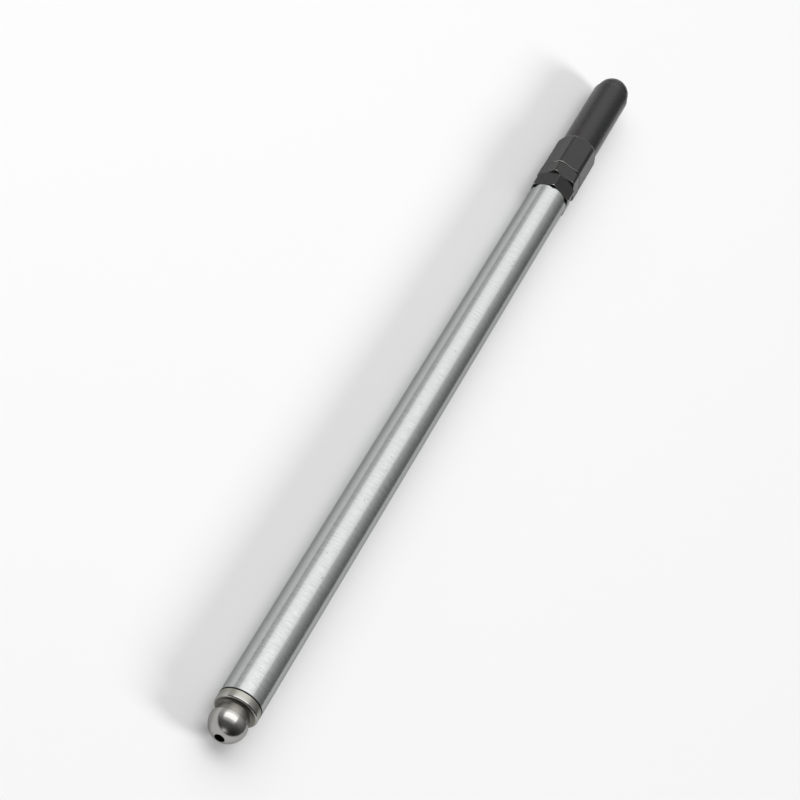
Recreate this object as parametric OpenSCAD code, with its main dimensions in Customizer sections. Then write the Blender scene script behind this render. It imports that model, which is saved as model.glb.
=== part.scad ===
// Adjustable engine pushrod, lying as it comes to rest: between a corner of the insert's hex
// on one side of its axis and a corner of the adjuster's hex on the other.
// It is drawn along its own axis from the joint between tube and ball end, then laid along X.

/* [Tube] */
// Outside diameter of the tube and of the collar that meets it
tube_d = 11.11; // [10.5:0.01:12.7]
// Length of the bare tube
tube_len = 194; // [150:0.5:240]
// Wall of the tube
tube_wall = 1.5; // [1.3:0.05:1.7]
// Edge break on the ends of the tube and on the upper edge of the collar
edge_break = 0.15; // [0.05:0.05:0.25]

/* [Ball end] */
// Diameter of the ball
ball_d = 9.525; // [9.0:0.005:9.6]
// From the end of the tube to the centre of the ball
ball_reach = 5.87; // [5.6:0.01:6.4]
// Length of the collar between the tube and the neck
collar_len = 2.5; // [2.2:0.05:2.7]
// Chamfer on the lower edge of the collar
collar_chamfer = 0.35; // [0.2:0.05:0.45]
// From the centre of the ball up to the edge where it steps in to the neck
ball_rise = 0.45; // [0.2:0.05:0.8]
// Diameter of the neck between ball and collar
neck_d = 7.8; // [7.0:0.1:8.0]
// Fillet between neck and collar
neck_fillet = 0.6; // [0.3:0.1:0.7]
// Length of the shank pressed into the tube
ball_shank_len = 12; // [8:0.5:20]
// Oil drilling along the axis
oil_d = 2.6; // [1.5:0.1:3]

/* [Hexes] */
// Across the flats of all three hexes
hex_af = 11.11; // [10.6:0.01:11.4]
// Angle of the hex chamfers from the end face
hex_chamfer_deg = 40; // [25:1:45]
// Hex of the threaded insert, along the axis
insert_hex_len = 5.5; // [4:0.1:8]
// Across the turned corners of the insert
insert_corner_d = 12.65; // [12.4:0.05:12.8]
// Turn of the insert's hex from straight down
insert_roll = -22.2; // [-30:0.1:30]
// Length of the insert's shank in the tube
insert_shank_len = 14; // [10:0.5:18]
// Lock nut, along the axis
nut_len = 5; // [3.5:0.1:7]
// Across the turned corners of the nut
nut_corner_d = 12.4; // [12.2:0.05:12.8]
// Turn of the nut from straight down
nut_roll = 21.7; // [-30:0.1:30]

/* [Adjuster] */
// Hex of the adjuster, along the axis, chamfer included
screw_hex_len = 13.5; // [10:0.1:18]
// Across the turned corners of the adjuster
screw_corner_d = 12.2; // [12.0:0.05:12.6]
// Turn of the adjuster's hex from straight down
screw_roll = 19.7; // [-30:0.1:30]
// Slope of the shoulder from the axis
shoulder_deg = 27; // [20:1:60]
// Diameter of the plain barrel
barrel_d = 10.6; // [10.2:0.05:10.6]
// Length of the plain barrel
barrel_len = 27.2; // [18:0.1:40]
// Chamfer on the end of the barrel
barrel_chamfer = 0.3; // [0.1:0.05:0.35]
// Diameter of the rounded tip
tip_d = 9.525; // [8.7:0.005:9.53]
// Straight land between the barrel and the tip's half ball
tip_land = 1.2; // [0.6:0.1:2]
// Outside of the threaded stud
stud_d = 6.35; // [5:0.05:6.5]
// Length of the stud below the hex
stud_len = 24; // [21:0.5:28]
// Chamfer on the end of the stud
stud_chamfer = 0.6; // [0.3:0.1:1]

/* [Fits] */
// Countersink at the mouths of the threaded bores
lead_in = 0.4; // [0.1:0.1:0.8]
// Radial clearance round the stud
thread_gap = 0.05; // [0.02:0.01:0.08]
// Radial overlap of the pressed shanks in the tube
press_over = 0.01; // [0.005:0.005:0.02]

/* [Hidden] */
$fn = 96;
tube_r = tube_d / 2;
bore_r = tube_r - tube_wall;
shank_r = bore_r + press_over;
ball_r = ball_d / 2;
neck_r = neck_d / 2;
oil_r = oil_d / 2;
hex_r = hex_af / 2 / cos(30);
flat_r = hex_af / 2;
stud_r = stud_d / 2;
thread_r = stud_r + thread_gap;
barrel_r = barrel_d / 2;
tip_r = tip_d / 2;
// How far a drilling runs past the faces that it opens
run_out = 1;
// How far the neck's fillet is cut below the faces that it joins
fillet_relief = 0.01;

// Stations along the axis
nut_z = tube_len + insert_hex_len;
screw_z = nut_z + nut_len;
barrel_z = screw_z + screw_hex_len;
tip_z = barrel_z + barrel_len;
tip_centre = tip_z + tip_land;
end_z = tip_centre + sqrt(pow(tip_r, 2) - pow(oil_r, 2));
start_z = -ball_reach - sqrt(pow(ball_r, 2) - pow(oil_r, 2));
mid_z = (start_z + end_z) / 2;

// How far a hex with turned corners reaches below the axis
function corner_r(d) = min(d / 2, hex_r);
function reach(d, roll) = corner_r(d) * cos(max(0, abs(roll) - 30 + acos(flat_r / corner_r(d))));
axis_h = max(
    reach(insert_corner_d, insert_roll),
    reach(nut_corner_d, nut_roll),
    reach(screw_corner_d, screw_roll)
);

module lay() {
    translate([-mid_z, 0, axis_h])
        rotate([0, 90, 0])
            children();
}

module hex_bar(z, len, roll) {
    translate([0, 0, z])
        rotate([0, 0, roll])
            cylinder(r = hex_r, h = len, $fn = 6);
}

module oil_drilling(from_z, to_z) {
    translate([0, 0, from_z - run_out])
        cylinder(r = oil_r, h = to_z - from_z + 2 * run_out);
}

// Corner chamfer depth of a hex turned to diameter d
function chamfer_h(d) = (d / 2 - flat_r + edge_break) * tan(hex_chamfer_deg);

module tube() {
    color([0.80, 0.81, 0.82])
        lay()
            rotate_extrude()
                polygon([
                    [bore_r, 0],
                    [tube_r - edge_break, 0],
                    [tube_r, edge_break],
                    [tube_r, tube_len - edge_break],
                    [tube_r - edge_break, tube_len],
                    [bore_r, tube_len]
                ]);
}

module collar_outline() {
    polygon([
        [0, ball_shank_len],
        [shank_r - edge_break, ball_shank_len],
        [shank_r, ball_shank_len - edge_break],
        [shank_r, 0],
        [tube_r - edge_break, 0],
        [tube_r, -edge_break],
        [tube_r, -collar_len + collar_chamfer],
        [tube_r - collar_chamfer, -collar_len],
        [neck_r + neck_fillet, -collar_len],
        [neck_r, -collar_len - neck_fillet],
        [neck_r, -ball_reach],
        [0, -ball_reach]
    ]);
}

module collar_and_neck() {
    rotate_extrude()
        difference() {
            collar_outline();
            translate([neck_r + neck_fillet, -collar_len - neck_fillet])
                circle(r = neck_fillet + fillet_relief);
        }
}

module ball() {
    intersection() {
        translate([0, 0, -ball_reach])
            sphere(r = ball_r);
        translate([0, 0, -ball_reach + ball_rise - ball_d])
            cylinder(r = ball_d, h = ball_d);
    }
}

module ball_end() {
    color([0.74, 0.73, 0.70])
        lay()
            difference() {
                union() {
                    collar_and_neck();
                    ball();
                }
                oil_drilling(-ball_reach - ball_r, ball_shank_len);
            }
}

module insert_turned() {
    chamfer = chamfer_h(insert_corner_d);
    rotate_extrude()
        polygon([
            [thread_r, tube_len],
            [insert_corner_d / 2, tube_len],
            [insert_corner_d / 2, nut_z - chamfer],
            [flat_r - edge_break, nut_z],
            [thread_r + lead_in, nut_z],
            [thread_r, nut_z - lead_in]
        ]);
}

module insert_shank() {
    rotate_extrude()
        polygon([
            [thread_r, tube_len - insert_shank_len],
            [shank_r - edge_break, tube_len - insert_shank_len],
            [shank_r, tube_len - insert_shank_len + edge_break],
            [shank_r, tube_len],
            [thread_r, tube_len]
        ]);
}

module threaded_insert() {
    color([0.16, 0.16, 0.17])
        lay()
            union() {
                intersection() {
                    hex_bar(tube_len, insert_hex_len, insert_roll);
                    insert_turned();
                }
                insert_shank();
            }
}

module nut_turned() {
    chamfer = chamfer_h(nut_corner_d);
    rotate_extrude()
        polygon([
            [thread_r, nut_z + lead_in],
            [thread_r + lead_in, nut_z],
            [flat_r - edge_break, nut_z],
            [nut_corner_d / 2, nut_z + chamfer],
            [nut_corner_d / 2, screw_z - chamfer],
            [flat_r - edge_break, screw_z],
            [thread_r + lead_in, screw_z],
            [thread_r, screw_z - lead_in]
        ]);
}

module lock_nut() {
    color([0.15, 0.15, 0.16])
        lay()
            intersection() {
                hex_bar(nut_z, nut_len, nut_roll);
                nut_turned();
            }
}

module screw_turned() {
    shoulder = (screw_corner_d / 2 - barrel_r) / tan(shoulder_deg);
    rotate_extrude()
        polygon([
            [0, screw_z],
            [screw_corner_d / 2, screw_z],
            [screw_corner_d / 2, barrel_z - shoulder],
            [barrel_r, barrel_z],
            [0, barrel_z]
        ]);
}

module barrel_outline() {
    polygon([
        [0, barrel_z],
        [barrel_r, barrel_z],
        [barrel_r, tip_z - barrel_chamfer],
        [barrel_r - barrel_chamfer, tip_z],
        [tip_r, tip_z],
        [tip_r, tip_centre],
        [0, tip_centre]
    ]);
    intersection() {
        translate([0, tip_centre])
            circle(r = tip_r);
        translate([0, tip_centre])
            square(tip_d);
    }
}

module stud_outline() {
    polygon([
        [0, screw_z - stud_len],
        [stud_r - stud_chamfer, screw_z - stud_len],
        [stud_r, screw_z - stud_len + stud_chamfer],
        [stud_r, screw_z],
        [0, screw_z]
    ]);
}

module adjuster_screw() {
    color([0.17, 0.17, 0.18])
        lay()
            difference() {
                union() {
                    intersection() {
                        hex_bar(screw_z, screw_hex_len, screw_roll);
                        screw_turned();
                    }
                    rotate_extrude()
                        barrel_outline();
                    rotate_extrude()
                        stud_outline();
                }
                oil_drilling(screw_z - stud_len, tip_centre + tip_r);
            }
}

tube();
ball_end();
threaded_insert();
lock_nut();
adjuster_screw();
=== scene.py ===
"""Looks of an adjustable engine pushrod: turned and ground surfaces, finishes, camera and light."""
import math

import bpy
import numpy as np
from mathutils import Matrix, Vector


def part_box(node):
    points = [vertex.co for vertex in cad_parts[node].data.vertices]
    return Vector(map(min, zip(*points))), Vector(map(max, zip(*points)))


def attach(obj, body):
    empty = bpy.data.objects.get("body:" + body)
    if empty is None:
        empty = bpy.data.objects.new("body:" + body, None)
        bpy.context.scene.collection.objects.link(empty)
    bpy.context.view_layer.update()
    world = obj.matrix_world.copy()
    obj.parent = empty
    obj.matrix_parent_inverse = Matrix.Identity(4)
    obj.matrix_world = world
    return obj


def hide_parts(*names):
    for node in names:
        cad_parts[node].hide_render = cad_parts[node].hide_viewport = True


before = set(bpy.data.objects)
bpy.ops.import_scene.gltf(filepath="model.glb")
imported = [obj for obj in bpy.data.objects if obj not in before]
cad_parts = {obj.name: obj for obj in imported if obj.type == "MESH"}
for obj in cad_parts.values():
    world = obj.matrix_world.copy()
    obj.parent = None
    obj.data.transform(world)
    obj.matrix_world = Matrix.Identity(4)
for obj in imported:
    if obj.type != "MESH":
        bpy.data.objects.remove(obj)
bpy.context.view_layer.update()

MM = 0.001
INCH = 25.4

# Sizes of the rod in millimetres, along its axis from the joint between tube and ball end
TUBE_LEN = 194.0
TUBE_WALL = 1.5
EDGE_BREAK = 0.15
BALL_R = 4.7625
BALL_REACH = 5.87
BALL_RISE = 0.45
COLLAR_LEN = 2.5
NECK_R = 3.9
NECK_FILLET = 0.6
BALL_SHANK_LEN = 12.0
OIL_R = 1.3

# The three hexes: half across flats, then radius over the turned corners and turn from straight down
FLAT_R = 5.555
HEX_CHAMFER = math.radians(40)
INSERT_CORNER_R, INSERT_ROLL = 6.325, -22.2
NUT_CORNER_R, NUT_ROLL = 6.2, 21.7
SCREW_CORNER_R, SCREW_ROLL = 6.1, 19.7
INSERT_HEX_LEN, NUT_LEN, SCREW_HEX_LEN = 5.5, 5.0, 13.5
INSERT_SHANK_LEN = 14.0
THREAD_BORE_R = 3.225
LEAD_IN = 0.4

# The adjuster's shoulder, barrel, rounded tip and threaded stud
SHOULDER = math.radians(27)
BARREL_R = 5.3
BARREL_LEN = 27.2
BARREL_CHAMFER = 0.3
TIP_R = 4.7625
TIP_LAND = 1.2
STUD_R = 3.175
STUD_LEN = 24.0
STUD_CHAMFER = 0.6
THREADS_PER_INCH = 28
PITCH = INCH / THREADS_PER_INCH
THREAD_DEPTH = 0.5
# How far the thread's triangle wave is stretched before it is clipped to a flat crest and a flat root
THREAD_STRETCH = 1.5

# Stations of the pieces along the axis
NUT_Z = TUBE_LEN + INSERT_HEX_LEN
SCREW_Z = NUT_Z + NUT_LEN
BARREL_Z = SCREW_Z + SCREW_HEX_LEN
TIP_Z = BARREL_Z + BARREL_LEN
TIP_CENTRE = TIP_Z + TIP_LAND

# Rounding of edges as they leave the lathe, the file and the polishing wheel
FINE_EDGE = 0.03
SOFT_EDGE = 0.06
WORN_EDGE = 0.18
BALL_EDGE = 0.25
COLLAR_EDGE = 0.5
COLLAR_LIP = 1.3

# Marks on an outline's rows: before a corner's rounding, on it and after it
PLAIN = (0, 0, 0)
# Rubbed edges of the black pieces, which also paint highlights along the edges
WORN_AND_GLINTING = (0, 1.6, 0)
RUBBED_AND_GLINTING = (0, 1, 0)
CUT = (1, 1, 1)
TURNED = (0.5, 0.5, 0.5)
LIP = (0, 0, 1)
# Painted shade in the ball end's neck under the collar: above 1 the mark mixes in the dark oil colour
SHADED_NECK = (1, 1.35, 1.2)
OILED = (2, 2, 2)
STAINED = (2, 2, 1.4)
# How far the oil's stain reaches from a joint
STAIN = 0.2

# Wear of the hexes, which also paints highlights along their edges: how much the middles of their flats are
# rubbed, and how fast that rises to the corners
INSERT_WEAR_AND_GLINT, NUT_WEAR_AND_GLINT, SCREW_WEAR_AND_GLINT = 0.08, 0.12, 0.5
CORNER_POWER = 4
# The adjuster's worn flat, from straight above, the angles from its middle between which the wear fades,
# and the share left on the other flats; the wear on that flat also paints the highlight along its edges
WEAR_GLINT_FLAT = math.radians(-24)
WEAR_GLINT_INNER, WEAR_GLINT_OUTER = math.radians(32), math.radians(44)
WEAR_GLINT_REST = 0.2

# Where the frame puts the rod
tube_low, tube_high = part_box("tube")
AXIS_H = (tube_low.z + tube_high.z) / 2
JOINT_X = tube_low.x
TUBE_R = (tube_high.z - tube_low.z) / 2 / MM
BORE_R = TUBE_R - TUBE_WALL
SHANK_R = BORE_R - FINE_EDGE
FACE_R = FLAT_R - EDGE_BREAK

# Grid of the surfaces: rows on a rounding, the most of a side that it takes, the reach of the rows that keep
# the sides flat, where the marks ease over a rounding, and columns round the axis, on a flat and on a corner
ARC_ROWS = 9
ARC_SHARE = 0.4
GUARD = 1.2
EASE = (0, 0.3, 0.7, 1)
ROUND_COLUMNS = 240
FLAT_COLUMNS, CORNER_COLUMNS = 23, 5
EDGE_STRIP = math.radians(0.3)
BALL_ROWS, TIP_ROWS = 90, 60
ROWS_PER_TURN = 10


# Surfaces: each piece is a closed outline carried once round the rod's axis

def rounded(corners, radii, marks):
    """Rounds the corners of a closed outline.

    corners has the shape (corners, columns, 2): radius and station of each corner in every column.
    Each corner becomes a circular arc that touches both its sides, as a rational quadratic curve
    whose middle weight is the cosine of half the turn. A further point just before and one just
    after each arc keep the long faces flat. A radius of 0 leaves the corner as it is.
    Each corner's mark has three values, for the row before its arc, the arc and the row after it,
    and it eases from one to the next over the ends of the arc.
    Returns the points and the mark of every row.
    """
    rows, row_marks = [], []
    u = np.linspace(0, 1, ARC_ROWS)[:, None, None]
    sides = zip(np.roll(corners, 1, 0), corners, np.roll(corners, -1, 0), radii, marks)
    for before, corner, after, radius, mark in sides:
        if radius == 0:
            rows.append(corner[None])
            row_marks.append(mark[1:2])
            continue
        back, ahead = before - corner, after - corner
        back_len = np.linalg.norm(back, axis=-1, keepdims=True)
        ahead_len = np.linalg.norm(ahead, axis=-1, keepdims=True)
        back, ahead = back / back_len, ahead / ahead_len
        half = np.arccos(np.clip((back * ahead).sum(-1, keepdims=True), -1, 1)) / 2
        reach = np.minimum(radius / np.tan(half), ARC_SHARE * np.minimum(back_len, ahead_len))
        start, end = corner + back * reach, corner + ahead * reach
        weight = np.sin(half)
        top = (1 - u) ** 2 * start + 2 * u * (1 - u) * weight * corner + u ** 2 * end
        bend = top / ((1 - u) ** 2 + 2 * u * (1 - u) * weight + u ** 2)
        rows += [(corner + back * reach * GUARD)[None], bend, (corner + ahead * reach * GUARD)[None]]
        eased = np.interp(u.ravel(), EASE, [mark[0], mark[1], mark[1], mark[2]])
        row_marks += [mark[:1], eased, mark[2:]]
    return np.concatenate(rows), np.concatenate(row_marks)


def revolve(name, points, angles, marks):
    """A closed surface: point (radius, station) of each row and column, carried to its column's angle.

    In the frame x is the station, y the radius times the sine of the angle, and z the axis height
    less the radius times its cosine. The rows close into a loop round the wall of the piece and
    the columns into a loop round the axis, so the surface has no pole and no open seam.
    marks has a value for every row, or for every row and column.
    """
    radius, station = points[..., 0] * MM, points[..., 1] * MM
    place = np.stack([
        JOINT_X + station + 0 * angles,
        radius * np.sin(angles),
        AXIS_H - radius * np.cos(angles),
    ], -1)
    rows, columns = place.shape[:2]
    index = np.arange(rows * columns).reshape(rows, columns)
    below = np.roll(index, -1, 0)
    quads = np.stack([index, below, np.roll(below, -1, 1), np.roll(index, -1, 1)], -1).reshape(-1, 4)
    # the sign of the outline's area tells which way round the faces point outwards
    r, z = points[:, 0, 0], points[:, 0, 1]
    if (r * np.roll(z, -1) - z * np.roll(r, -1)).sum() > 0:
        quads = quads[:, ::-1]
    mesh = bpy.data.meshes.new(name)
    mesh.from_pydata(place.reshape(-1, 3), [], quads)
    mesh.shade_smooth()
    mark = mesh.attributes.new("mark", "FLOAT", "POINT")
    spread = np.broadcast_to(marks.reshape(rows, -1), (rows, columns))
    mark.data.foreach_set("value", spread.ravel().astype(np.float32))
    piece = bpy.data.objects.new(name, mesh)
    bpy.context.scene.collection.objects.link(piece)
    return piece


def turned(name, corners, radii, marks):
    """A piece of revolution from the corners of its closed outline."""
    angles = np.linspace(0, 2 * np.pi, ROUND_COLUMNS, endpoint=False)
    points, row_marks = rounded(np.array(corners, float)[:, None, :], radii, marks)
    return revolve(name, np.repeat(points, ROUND_COLUMNS, 1), angles, row_marks)


def arc(centre_z, radius, first, last, count):
    """Points of a ball's outline: radius times sine and cosine of the angle from its +axis pole."""
    t = np.linspace(first, last, count)
    return np.stack([radius * np.sin(t), centre_z + radius * np.cos(t)], -1)


def hex_columns(corner_r, roll):
    """Angles round a hex with turned corners, and the radius of its side at each of them.

    A flat's radius is half across flats over the cosine of the angle from the flat's middle, up to
    where it meets the turned corner. A narrow strip either side of that line softens the edge.
    """
    edge = math.acos(FLAT_R / corner_r)
    flat = np.linspace(-edge + 3 * EDGE_STRIP, edge - 3 * EDGE_STRIP, FLAT_COLUMNS)
    corner = np.linspace(edge + EDGE_STRIP, math.pi / 3 - edge - EDGE_STRIP, CORNER_COLUMNS)
    sector = np.concatenate([[-edge + EDGE_STRIP], flat, [edge - EDGE_STRIP], corner])
    side = np.minimum(FLAT_R / np.cos(sector), corner_r)
    turns = np.arange(6)[:, None] * math.pi / 3 + math.pi / 6 + math.radians(roll)
    return (turns + sector).ravel(), np.tile(side, 6)


def corner_wear_and_glint(side, middle_wear_and_glint):
    """Share of the rubbing, which also paints the edge highlights, in each column of a hex: full on a
    corner, the given middle share amid a flat.

    Between them it rises with a power of how far the side stands out from the flat.
    """
    raised = (side - side.min()) / np.ptp(side)
    return middle_wear_and_glint + (1 - middle_wear_and_glint) * raised ** CORNER_POWER


def flat_wear_and_glint(angles):
    """Share of the rubbing round the adjuster, which also paints its edge highlight: full on its worn flat,
    little on the others.

    It falls in a straight line with the cosine of the angle from the middle of that flat.
    """
    middle = math.pi + WEAR_GLINT_FLAT
    inner, outer = math.cos(WEAR_GLINT_INNER), math.cos(WEAR_GLINT_OUTER)
    return np.interp(np.cos(angles - middle), [outer, inner], [WEAR_GLINT_REST, 1])


def columns_of(side, corners):
    """The corners of an outline as arrays over a hex's columns; plain numbers hold for every column."""
    spread = [[np.broadcast_to(v, side.shape) for v in corner] for corner in corners]
    return np.array(spread).transpose(0, 2, 1)


def chamfer_fall(side):
    """How far a hex's chamfer drops from its end face to the side, in each column."""
    return (side - FACE_R) * math.tan(HEX_CHAMFER)


def make_tube():
    """Drawn tube with both ends broken; its mark is the oil held in the two joints."""
    return turned("tube_dressed", [
        (BORE_R, 0),
        (TUBE_R - EDGE_BREAK, 0),
        (TUBE_R, EDGE_BREAK),
        (TUBE_R, EDGE_BREAK + STAIN),
        (TUBE_R, TUBE_LEN - EDGE_BREAK - STAIN),
        (TUBE_R, TUBE_LEN - EDGE_BREAK),
        (TUBE_R - EDGE_BREAK, TUBE_LEN),
        (BORE_R, TUBE_LEN),
    ], [SOFT_EDGE] * 3 + [0] * 2 + [SOFT_EDGE] * 3,
        [PLAIN, OILED, STAINED, PLAIN, PLAIN, STAINED[::-1], OILED, PLAIN])


def make_ball_end():
    """Collar, filleted neck and drilled ball, with the shank that sits in the tube.

    Its mark is 2 in the oil of the joint, 1 where the lathe's cut was left rough, a little more as painted
    shade in the neck's corner under the collar, half on the collar and 0 on the polished ball and the
    collar's lower edge.
    """
    rim = math.acos(BALL_RISE / BALL_R)
    mouth = math.pi - math.asin(OIL_R / BALL_R)
    ball = arc(-BALL_REACH, BALL_R, rim, mouth, BALL_ROWS)
    corners = [
        (OIL_R, BALL_SHANK_LEN),
        (SHANK_R, BALL_SHANK_LEN),
        (SHANK_R, 0),
        (TUBE_R - EDGE_BREAK, 0),
        (TUBE_R, -EDGE_BREAK),
        (TUBE_R, -EDGE_BREAK - STAIN),
        (TUBE_R, -COLLAR_LEN + COLLAR_LIP),
        (TUBE_R, -COLLAR_LEN),
        (NECK_R, -COLLAR_LEN),
        (NECK_R, -BALL_REACH + BALL_RISE),
        *ball,
    ]
    radii = [SOFT_EDGE] * 5 + [0, 0, COLLAR_EDGE, NECK_FILLET, SOFT_EDGE]
    radii += [BALL_EDGE] + [0] * (BALL_ROWS - 2) + [SOFT_EDGE]
    marks = [PLAIN] * 3 + [OILED, STAINED, TURNED, TURNED, LIP, SHADED_NECK, CUT] + [PLAIN] * BALL_ROWS
    return turned("ball_end_dressed", corners, radii, marks)


def make_insert():
    """Short hex with one chamfered face, on the shank that sits in the tube."""
    angles, side = hex_columns(INSERT_CORNER_R, INSERT_ROLL)
    corners = columns_of(side, [
        (THREAD_BORE_R, TUBE_LEN - INSERT_SHANK_LEN),
        (SHANK_R, TUBE_LEN - INSERT_SHANK_LEN),
        (SHANK_R, TUBE_LEN),
        (side, TUBE_LEN),
        (side, NUT_Z - chamfer_fall(side)),
        (FACE_R, NUT_Z),
        (THREAD_BORE_R + LEAD_IN, NUT_Z),
        (THREAD_BORE_R, NUT_Z - LEAD_IN),
    ])
    radii = [SOFT_EDGE] * 3 + [WORN_EDGE] * 2 + [SOFT_EDGE] * 3
    points, marks = rounded(corners, radii, [PLAIN] * 3 + [WORN_AND_GLINTING] * 2 + [PLAIN] * 3)
    wear_and_glint = corner_wear_and_glint(side, INSERT_WEAR_AND_GLINT)
    return revolve("threaded_insert_dressed", points, angles, np.outer(marks, wear_and_glint))


def make_nut():
    """Thin hex nut, chamfered on both faces."""
    angles, side = hex_columns(NUT_CORNER_R, NUT_ROLL)
    corners = columns_of(side, [
        (THREAD_BORE_R, NUT_Z + LEAD_IN),
        (THREAD_BORE_R + LEAD_IN, NUT_Z),
        (FACE_R, NUT_Z),
        (side, NUT_Z + chamfer_fall(side)),
        (side, SCREW_Z - chamfer_fall(side)),
        (FACE_R, SCREW_Z),
        (THREAD_BORE_R + LEAD_IN, SCREW_Z),
        (THREAD_BORE_R, SCREW_Z - LEAD_IN),
    ])
    radii = [SOFT_EDGE] * 3 + [WORN_EDGE] * 2 + [SOFT_EDGE] * 3
    points, marks = rounded(corners, radii, [PLAIN] * 3 + [WORN_AND_GLINTING] * 2 + [PLAIN] * 3)
    wear_and_glint = corner_wear_and_glint(side, NUT_WEAR_AND_GLINT)
    return revolve("lock_nut_dressed", points, angles, np.outer(marks, wear_and_glint))


def thread_rows(angles, first, last):
    """Rows of the stud's thread: at station z and angle a the phase is z over the pitch less a over a turn.

    The radius falls from the crest by the depth times a wave with a flat crest and a flat root,
    a triangle wave clipped at both ends, and fades to the root towards the two ends of the stud.
    """
    station = np.linspace(first, last, int((last - first) / PITCH * ROWS_PER_TURN))[:, None]
    phase = (station / PITCH - angles / (2 * np.pi)) % 1
    wave = np.clip(np.abs(2 * phase - 1) * THREAD_STRETCH - (THREAD_STRETCH - 1) / 2, 0, 1)
    ends = np.minimum(station - first, last - station)
    fade = np.clip(ends / STUD_CHAMFER, 0, 1)
    radius = STUD_R - THREAD_DEPTH * (1 - (1 - wave) * fade)
    return np.stack([radius, station + 0 * angles], -1)


def make_adjuster():
    """Adjuster screw: threaded stud, long hex, shoulder, plain barrel and drilled rounded tip."""
    angles, side = hex_columns(SCREW_CORNER_R, SCREW_ROLL)
    stud_end = SCREW_Z - STUD_LEN
    root_r = STUD_R - THREAD_DEPTH
    thread = thread_rows(angles, stud_end + FINE_EDGE, SCREW_Z - FINE_EDGE)
    mouth = math.asin(OIL_R / TIP_R)
    corners = columns_of(side, [
        (root_r, SCREW_Z),
        (side, SCREW_Z),
        (side, BARREL_Z - (side - BARREL_R) / math.tan(SHOULDER)),
        (BARREL_R, BARREL_Z),
        (BARREL_R, TIP_Z - BARREL_CHAMFER),
        (BARREL_R - BARREL_CHAMFER, TIP_Z),
        (TIP_R, TIP_Z),
        *arc(TIP_CENTRE, TIP_R, math.pi / 2, mouth, TIP_ROWS),
        (OIL_R, stud_end),
        (root_r, stud_end),
    ])
    radii = [0, WORN_EDGE, WORN_EDGE, SOFT_EDGE, WORN_EDGE, SOFT_EDGE, SOFT_EDGE]
    radii += [0] * (TIP_ROWS - 1) + [SOFT_EDGE, FINE_EDGE, 0]
    worn_and_glinting = [PLAIN, WORN_AND_GLINTING, RUBBED_AND_GLINTING, PLAIN, RUBBED_AND_GLINTING]
    worn_and_glinting += [PLAIN] * (len(corners) - len(worn_and_glinting))
    points, marks = rounded(corners, radii, worn_and_glinting)
    points = np.concatenate([points, thread])
    marks = np.concatenate([marks, np.zeros(len(thread))])
    wear_and_glint = corner_wear_and_glint(side, SCREW_WEAR_AND_GLINT) * flat_wear_and_glint(angles)
    return revolve("adjuster_screw_dressed", points, angles, np.outer(marks, wear_and_glint))


# Finishes: colours, noise scales in cycles to the metre, bump strengths, and bump heights in metres

NOISE_ROUGHNESS, NOISE_RANGE = 0.55, (0.3, 0.7)

# The tube, its strokes drawn out round it
TUBE_DARK, TUBE_LIGHT = (0.439, 0.454, 0.447), (0.489, 0.506, 0.497)
PIT_GREY = (0.344, 0.350, 0.339)
TUBE_OIL = (0.013, 0.012, 0.013)
STROKE_SCALE, STROKE_STRETCH = 3000, (1, 0.12, 0.12)
STROKE_RANGE = (0.35, 0.65)
STROKE_BUMP, STROKE_HEIGHT = 0.2, 0.00002
PIT_SCALE, PIT_RANGE = 900, (0.72, 0.80)
TUBE_ROUGHNESS = (0.17, 0.24)
TUBE_EDGE_TINT = (0.5, 0.5, 0.5, 1)

# The ball end, its lathe rings drawn out round it
POLISHED_DARK, POLISHED_LIGHT = (0.364, 0.360, 0.344), (0.398, 0.393, 0.376)
TURNED_DARK, TURNED_LIGHT = (0.300, 0.300, 0.264), (0.350, 0.350, 0.311)
CUT_DARK, CUT_LIGHT = (0.239, 0.233, 0.208), (0.289, 0.283, 0.256)
# Dark oil colour of the joint, also mixed into the neck under the collar as painted shade
COLLAR_OIL_AND_SHADE = (0.013, 0.011, 0.016)
MOTTLE_SCALE = 700
RING_SCALE, RING_STRETCH = 5200, (1, 0.03, 0.03)
RING_BUMP, RING_HEIGHT = 0.14, 0.00001
STEEL_ROUGHNESS = (0.17, 0.42)
STEEL_EDGE_TINT = (0.6, 0.6, 0.6, 1)

# The black pieces, their patterns of tone and wear turned about the rod; where the coat is rubbed through,
# bare steel, which also paints the highlights along the edges
CHARCOAL_DARK, CHARCOAL_LIGHT = (0.0039, 0.0044, 0.0044), (0.0106, 0.0111, 0.0106)
BROWN_CAST = (0.0144, 0.0094, 0.0083)
# Bare steel on rubbed edges, also used as painted highlights along the edges
BARE_STEEL_AND_GLINT = (0.62, 0.61, 0.58)
PATCH_SCALE, PATCH_RANGE = 260, (0.52, 0.75)
GRAIN_SCALE, GRAIN_SHARE = 2600, (0.45, 1)
GRAIN_BUMP, GRAIN_HEIGHT = 0.25, 0.00003
BARE_GLINT_SCALE, BARE_GLINT_RANGE, BARE_GLINT_SHARE = 170, (0.42, 0.60), (0.5, 1)
METAL_RANGE = (0.05, 0.3)
BLACK_ROUGHNESS = (0.22, 0.38)
BLACK_GLOSS = 0.40
PATTERN_TURN = math.radians(60)


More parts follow.
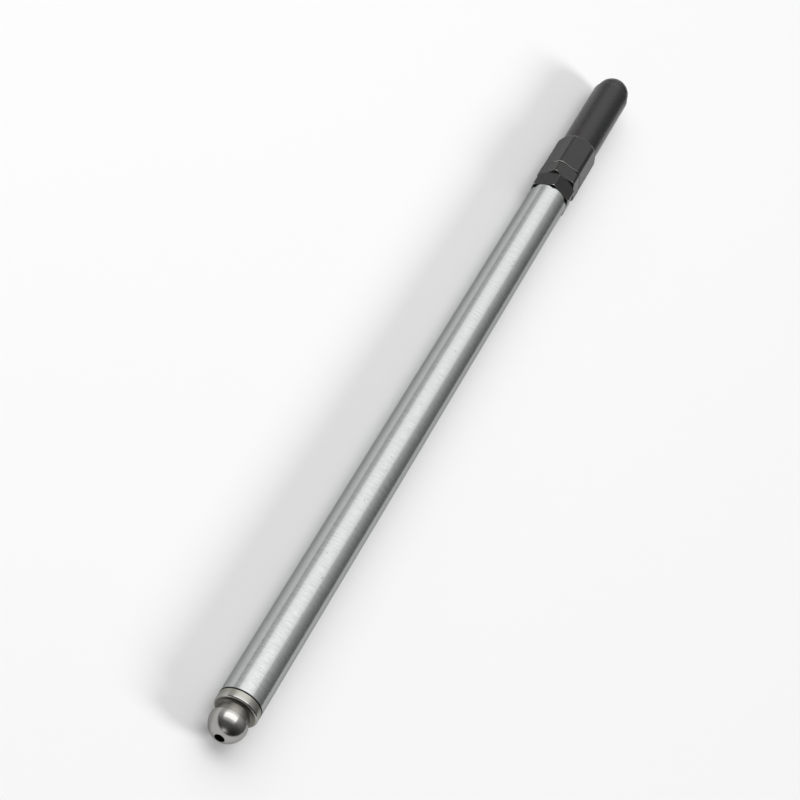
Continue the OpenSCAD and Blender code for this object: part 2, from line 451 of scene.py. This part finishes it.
class Finish:
    """A node material round one Principled shader, with short calls for the nodes that feed it."""

    def __init__(self, name):
        self.material = bpy.data.materials.new(name)
        self.material.use_nodes = True
        self.tree = self.material.node_tree
        self.shader = self.tree.nodes["Principled BSDF"]
        self.place = self.tree.nodes.new("ShaderNodeTexCoord").outputs["Object"]

    def link(self, source, target):
        self.tree.links.new(source, target)

    def node(self, kind, **settings):
        made = self.tree.nodes.new(kind)
        for key, value in settings.items():
            setattr(made, key, value)
        return made

    def noise(self, scale, stretch=(1, 1, 1), detail=3.0, turn=0.0):
        """Noise over the rod's own coordinates; stretch multiplies them axis by axis.

        turn carries the pattern round the rod's axis.
        """
        mapping = self.node("ShaderNodeMapping")
        mapping.inputs["Scale"].default_value = stretch
        mapping.inputs["Rotation"].default_value = (turn, 0, 0)
        shift = (0, AXIS_H * math.sin(turn), AXIS_H * (1 - math.cos(turn)))
        mapping.inputs["Location"].default_value = shift
        self.link(self.place, mapping.inputs["Vector"])
        made = self.node("ShaderNodeTexNoise")
        made.inputs["Scale"].default_value = scale
        made.inputs["Detail"].default_value = detail
        made.inputs["Roughness"].default_value = NOISE_ROUGHNESS
        self.link(mapping.outputs["Vector"], made.inputs["Vector"])
        return made.outputs["Fac"]

    def spread(self, value, low, high, source=NOISE_RANGE):
        """Carries a value from its source range to the range low to high."""
        made = self.node("ShaderNodeMapRange")
        made.inputs["From Min"].default_value, made.inputs["From Max"].default_value = source
        made.inputs["To Min"].default_value = low
        made.inputs["To Max"].default_value = high
        self.link(value, made.inputs["Value"])
        return made.outputs["Result"]

    def mix(self, factor, first, second):
        """Colour from first to second; each is a colour or another node's output."""
        made = self.node("ShaderNodeMix", data_type="RGBA")
        self.link(factor, made.inputs["Factor"])
        for socket, colour in zip((made.inputs[6], made.inputs[7]), (first, second)):
            if isinstance(colour, bpy.types.NodeSocket):
                self.link(colour, socket)
            else:
                socket.default_value = (*colour, 1)
        return made.outputs[2]

    def times(self, first, second):
        made = self.node("ShaderNodeMath", operation="MULTIPLY")
        self.link(first, made.inputs[0])
        self.link(second, made.inputs[1])
        return made.outputs["Value"]

    def mark(self):
        """What the piece's rows carry: rubbed edges that also paint highlights along the edges, oil in a
        joint, an unpolished cut, and painted shade in the ball end's neck.
        """
        return self.node("ShaderNodeAttribute", attribute_name="mark").outputs["Fac"]

    def bump(self, height, strength, distance):
        made = self.node("ShaderNodeBump")
        made.inputs["Strength"].default_value = strength
        made.inputs["Distance"].default_value = distance
        self.link(height, made.inputs["Height"])
        return made.outputs["Normal"]

    def dress(self, colour, roughness, normal, **constants):
        """Feeds the shader; the constants are set on its own sockets."""
        self.link(colour, self.shader.inputs["Base Color"])
        self.link(roughness, self.shader.inputs["Roughness"])
        self.link(normal, self.shader.inputs["Normal"])
        for key, value in constants.items():
            self.shader.inputs[key.replace("_", " ")].default_value = value
        return self.material


def aluminium():
    """Bright drawn tube: grey-white metal, short marks round it, a few pits, oil in the joints."""
    f = Finish("bright_aluminium")
    strokes = f.noise(STROKE_SCALE, STROKE_STRETCH, detail=2)
    pits = f.noise(PIT_SCALE, detail=1)
    metal = f.mix(f.spread(strokes, 0, 1, STROKE_RANGE), TUBE_DARK, TUBE_LIGHT)
    pitted = f.mix(f.spread(pits, 0, 1, PIT_RANGE), metal, PIT_GREY)
    colour = f.mix(f.spread(f.mark(), 0, 1, (0, 2)), pitted, TUBE_OIL)
    roughness = f.spread(strokes, *TUBE_ROUGHNESS, STROKE_RANGE)
    normal = f.bump(strokes, STROKE_BUMP, STROKE_HEIGHT)
    return f.dress(colour, roughness, normal, Metallic=1.0, Specular_Tint=TUBE_EDGE_TINT)


def ground_steel():
    """Ball end: polished ball, turned collar, rough-cut neck, oil in the joint, painted shade in the neck
    under the collar.
    """
    f = Finish("ground_steel")
    mark = f.mark()
    rings = f.noise(RING_SCALE, RING_STRETCH, detail=1)
    polished = f.mix(f.spread(f.noise(MOTTLE_SCALE), 0, 1), POLISHED_DARK, POLISHED_LIGHT)
    turned_grey = f.mix(f.spread(rings, 0, 1), TURNED_DARK, TURNED_LIGHT)
    cut_grey = f.mix(f.spread(rings, 0, 1), CUT_DARK, CUT_LIGHT)
    collar = f.mix(f.spread(mark, 0, 1, (0, 0.5)), polished, turned_grey)
    neck = f.mix(f.spread(mark, 0, 1, (0.5, 1)), collar, cut_grey)
    # Above 1 the mark darkens towards the oil colour: oil in the joint and beside it, and painted shade in
    # the neck
    colour = f.mix(f.spread(mark, 0, 1, (1, 2)), neck, COLLAR_OIL_AND_SHADE)
    roughness = f.spread(mark, *STEEL_ROUGHNESS, (0, 1))
    normal = f.bump(rings, RING_BUMP, RING_HEIGHT)
    return f.dress(colour, roughness, normal, Metallic=1.0, Specular_Tint=STEEL_EDGE_TINT)


def black_oxide():
    """Black-oxidised steel: satin charcoal, a brown cast in patches and edges rubbed down to metal, which
    also paint highlights along the edges.
    """
    f = Finish("black_oxide")
    patches = f.noise(PATCH_SCALE, turn=PATTERN_TURN)
    grain = f.noise(GRAIN_SCALE, turn=PATTERN_TURN)
    bare_and_glint = f.spread(f.noise(BARE_GLINT_SCALE, detail=2, turn=PATTERN_TURN), *BARE_GLINT_SHARE, BARE_GLINT_RANGE)
    charcoal = f.mix(f.spread(grain, 0, 1), CHARCOAL_DARK, CHARCOAL_LIGHT)
    coat = f.mix(f.spread(patches, 0, 1, PATCH_RANGE), charcoal, BROWN_CAST)
    # Rubbed edges: bare steel of real wear that also paints highlights along the edges
    rubbed_and_glint = f.times(f.times(f.mark(), bare_and_glint), f.spread(grain, *GRAIN_SHARE))
    colour = f.mix(rubbed_and_glint, coat, BARE_STEEL_AND_GLINT)
    roughness = f.spread(grain, *BLACK_ROUGHNESS)
    normal = f.bump(grain, GRAIN_BUMP, GRAIN_HEIGHT)
    f.link(f.spread(rubbed_and_glint, 0, 1, METAL_RANGE), f.shader.inputs["Metallic"])
    return f.dress(colour, roughness, normal, Specular_IOR_Level=BLACK_GLOSS)


BRIGHT, STEEL, BLACK = aluminium(), ground_steel(), black_oxide()
# Each dressed piece with the node that it stands for, its body, its material slot and its finish
DRESSED = [
    (make_tube(), "tube", "rod", "aluminium", BRIGHT),
    (make_ball_end(), "ball_end", "rod", "steel", STEEL),
    (make_insert(), "threaded_insert", "rod", "black_steel", BLACK),
    (make_nut(), "lock_nut", "nut", "black_steel", BLACK),
    (make_adjuster(), "adjuster_screw", "adjuster", "black_steel", BLACK),
]
for piece, node, body, slot, finish in DRESSED:
    piece.data.materials.append(finish)
    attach(piece, body)
    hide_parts(node)


# Camera: it stands behind the ball end and off the rod's axis, turned about the rod from straight above

ROD = Vector((1, 0, 0))
CAMERA_BACK = 0.29277
CAMERA_OUT = 0.46725
CAMERA_TURN = math.radians(-16)
AIM_STATION = 0.1028
AIM_LEFT = 0.00558
ROD_SLANT = math.radians(58.2)
FOCAL_PX, PICTURE_PX = 2386.9, 800
SENSOR_MM = 36
CLIP_NEAR, CLIP_FAR = 0.01, 50


def round_the_rod(station, turn, out):
    """Point at a station along the rod, out from its axis, turned from straight above towards -y."""
    return Vector((JOINT_X + station, -math.sin(turn) * out, AXIS_H + math.cos(turn) * out))


def placed(place, right, up, back):
    """Matrix of an object at a place, with its own three axes along the given directions."""
    return Matrix.Translation(place) @ Matrix((right, up, back)).transposed().to_4x4()


def make_camera():
    """Camera aimed beside the rod, rolled so that the rod lies at its slant in the picture."""
    data = bpy.data.cameras.new("camera")
    data.sensor_width = SENSOR_MM
    data.lens = FOCAL_PX / PICTURE_PX * SENSOR_MM
    data.clip_start, data.clip_end = CLIP_NEAR, CLIP_FAR
    place = round_the_rod(-CAMERA_BACK, CAMERA_TURN, CAMERA_OUT)
    aim = round_the_rod(AIM_STATION, CAMERA_TURN - math.pi / 2, AIM_LEFT)
    back = (place - aim).normalized()
    along = (ROD - ROD.dot(back) * back).normalized()
    across = back.cross(along)
    right = math.cos(ROD_SLANT) * along - math.sin(ROD_SLANT) * across
    camera = bpy.data.objects.new("camera", data)
    camera.matrix_world = placed(place, right, back.cross(right), back)
    bpy.context.scene.collection.objects.link(camera)
    bpy.context.scene.camera = camera


make_camera()


# Stage: a pale floor, a long softbox over the rod in three parts, a floor light and a dim room

FLOOR_GREY = (0.77, 0.77, 0.77, 1)
FLOOR_ROUGHNESS, FLOOR_GLOSS = 0.9, 0.1
FLOOR_INNER, FLOOR_OUTER = 0.02, 6.0
FLOOR_RINGS, FLOOR_SECTORS = 40, 96

# The softbox's distance from the rod, turn about it and half width, then each part's name, the stations
# along the rod between which it hangs, and the brightness of its face
SOFTBOX_OUT = 1.0
SOFTBOX_TURN = CAMERA_TURN - math.radians(6.3)
SOFTBOX_HALF = math.radians(37.1)
SOFTBOX_PARTS = [
    ("softbox", (0.5, 1.7), 0.5),
    ("softbox_end", (-0.1, 0.5), 1.8),
    ("softbox_fade", (-0.4, -0.1), 0.45),
]

FLOOR_LIGHT_FROM = Vector((0.2, -1.6, 0.9))
FLOOR_LIGHT_LEVEL = 0.32
FLOOR_LIGHT_SPREAD = math.radians(20)

ROOM_HIGH, ROOM_LOW = 1.09, 0.157
ROOM_TURN = CAMERA_TURN - math.radians(11)
ROOM_POWER = 3
# Share of the room's level by how far a direction points along the rod, from -1 behind the ball end
ROOM_ALONG = [
    (-0.97, 0.9), (-0.9, 0.2), (-0.8, 0.12), (-0.55, 0.16), (-0.25, 0.3), (0.0, 0.65), (0.35, 1.0),
]


def make_floor():
    """Round pale floor under the rod, a disc in rings that widen outwards."""
    rings = np.geomspace(FLOOR_INNER, FLOOR_OUTER, FLOOR_RINGS)
    turns = np.linspace(0, 2 * np.pi, FLOOR_SECTORS, endpoint=False)
    x, y = np.multiply.outer(rings, np.cos(turns)), np.multiply.outer(rings, np.sin(turns))
    places = np.concatenate([np.zeros((1, 3)), np.stack([x, y, 0 * x], -1).reshape(-1, 3)])
    index = 1 + np.arange(x.size).reshape(x.shape)
    ahead = np.roll(index, -1, 1)
    quads = np.stack([index[:-1], index[1:], ahead[1:], ahead[:-1]], -1).reshape(-1, 4)
    fan = np.stack([np.zeros(FLOOR_SECTORS, int), index[0], ahead[0]], -1)
    mesh = bpy.data.meshes.new("floor")
    mesh.from_pydata(places, [], quads.tolist() + fan.tolist())
    floor = bpy.data.objects.new("floor", mesh)
    bpy.context.scene.collection.objects.link(floor)
    material = bpy.data.materials.new("white_floor")
    material.use_nodes = True
    shader = material.node_tree.nodes["Principled BSDF"]
    shader.inputs["Base Color"].default_value = FLOOR_GREY
    shader.inputs["Roughness"].default_value = FLOOR_ROUGHNESS
    shader.inputs["Specular IOR Level"].default_value = FLOOR_GLOSS
    mesh.materials.append(material)


def make_softbox(name, span, level):
    """Part of the soft lamp parallel to the rod, whose reflection is the bright band along tube and ball."""
    middle = (span[0] + span[1]) / 2
    place = round_the_rod(middle, SOFTBOX_TURN, SOFTBOX_OUT)
    back = (place - round_the_rod(middle, 0, 0)).normalized()
    data = bpy.data.lights.new(name, "AREA")
    data.shape = "RECTANGLE"
    data.size = span[1] - span[0]
    data.size_y = 2 * SOFTBOX_OUT * math.tan(SOFTBOX_HALF)
    data.energy = level * math.pi * data.size * data.size_y
    lamp = bpy.data.objects.new(name, data)
    lamp.matrix_world = placed(place, ROD, back.cross(ROD), back)
    lamp.visible_camera = False
    bpy.context.scene.collection.objects.link(lamp)


def make_floor_light():
    """Even light on the floor from beside the rod; it shows in no reflection."""
    data = bpy.data.lights.new("floor_light", "SUN")
    data.angle = FLOOR_LIGHT_SPREAD
    back = FLOOR_LIGHT_FROM.normalized()
    data.energy = FLOOR_LIGHT_LEVEL * math.pi / back.z
    lamp = bpy.data.objects.new("floor_light", data)
    lamp.matrix_world = back.to_track_quat("Z", "Y").to_matrix().to_4x4()
    lamp.visible_glossy = False
    bpy.context.scene.collection.objects.link(lamp)


def make_room():
    """Dim room, brightest above the rod.

    The level rises from low to high with the cube of (1 + cosine) / 2 of the angle round the rod
    from the room's bright side. All of it is times a share that eases from stop to stop along
    the rod and is dim on the camera's side.
    """
    world = bpy.data.worlds.new("room")
    world.use_nodes = True
    bpy.context.scene.world = world
    tree = world.node_tree

    def node(kind, source, **settings):
        """New node whose first input is fed from another node's output."""
        made = tree.nodes.new(kind)
        for key, value in settings.items():
            setattr(made, key, value)
        tree.links.new(source, made.inputs[0])
        return made

    direction = tree.nodes.new("ShaderNodeTexCoord").outputs["Generated"]
    across = node("ShaderNodeVectorMath", direction, operation="MULTIPLY")
    across.inputs[1].default_value = (0, 1, 1)
    unit = node("ShaderNodeVectorMath", across.outputs["Vector"], operation="NORMALIZE")
    facing = node("ShaderNodeVectorMath", unit.outputs["Vector"], operation="DOT_PRODUCT")
    facing.inputs[1].default_value = (0, -math.sin(ROOM_TURN), math.cos(ROOM_TURN))
    height = node("ShaderNodeMapRange", facing.outputs["Value"])
    height.inputs["From Min"].default_value = -1
    cube = node("ShaderNodeMath", height.outputs["Result"], operation="POWER")
    cube.inputs[1].default_value = ROOM_POWER
    level = node("ShaderNodeMapRange", cube.outputs["Value"])
    level.inputs["To Min"].default_value = ROOM_LOW
    level.inputs["To Max"].default_value = ROOM_HIGH

    parts = node("ShaderNodeSeparateXYZ", direction)
    station = node("ShaderNodeMapRange", parts.outputs["X"])
    station.inputs["From Min"].default_value = -1
    share = node("ShaderNodeValToRGB", station.outputs["Result"])
    share.color_ramp.interpolation = "EASE"
    stops = share.color_ramp.elements
    while len(stops) < len(ROOM_ALONG):
        stops.new(1.0)
    for stop, (along, lit) in zip(stops, ROOM_ALONG):
        stop.position = (along + 1) / 2
        stop.color = (lit, lit, lit, 1)

    shared = node("ShaderNodeMath", level.outputs["Result"], operation="MULTIPLY")
    tree.links.new(share.outputs["Color"], shared.inputs[1])
    background = tree.nodes["Background"]
    background.inputs["Color"].default_value = (1, 1, 1, 1)
    tree.links.new(shared.outputs["Value"], background.inputs["Strength"])


make_floor()
for name, span, level in SOFTBOX_PARTS:
    make_softbox(name, span, level)
make_floor_light()
make_room()
bpy.context.scene.view_settings.view_transform = "Standard"
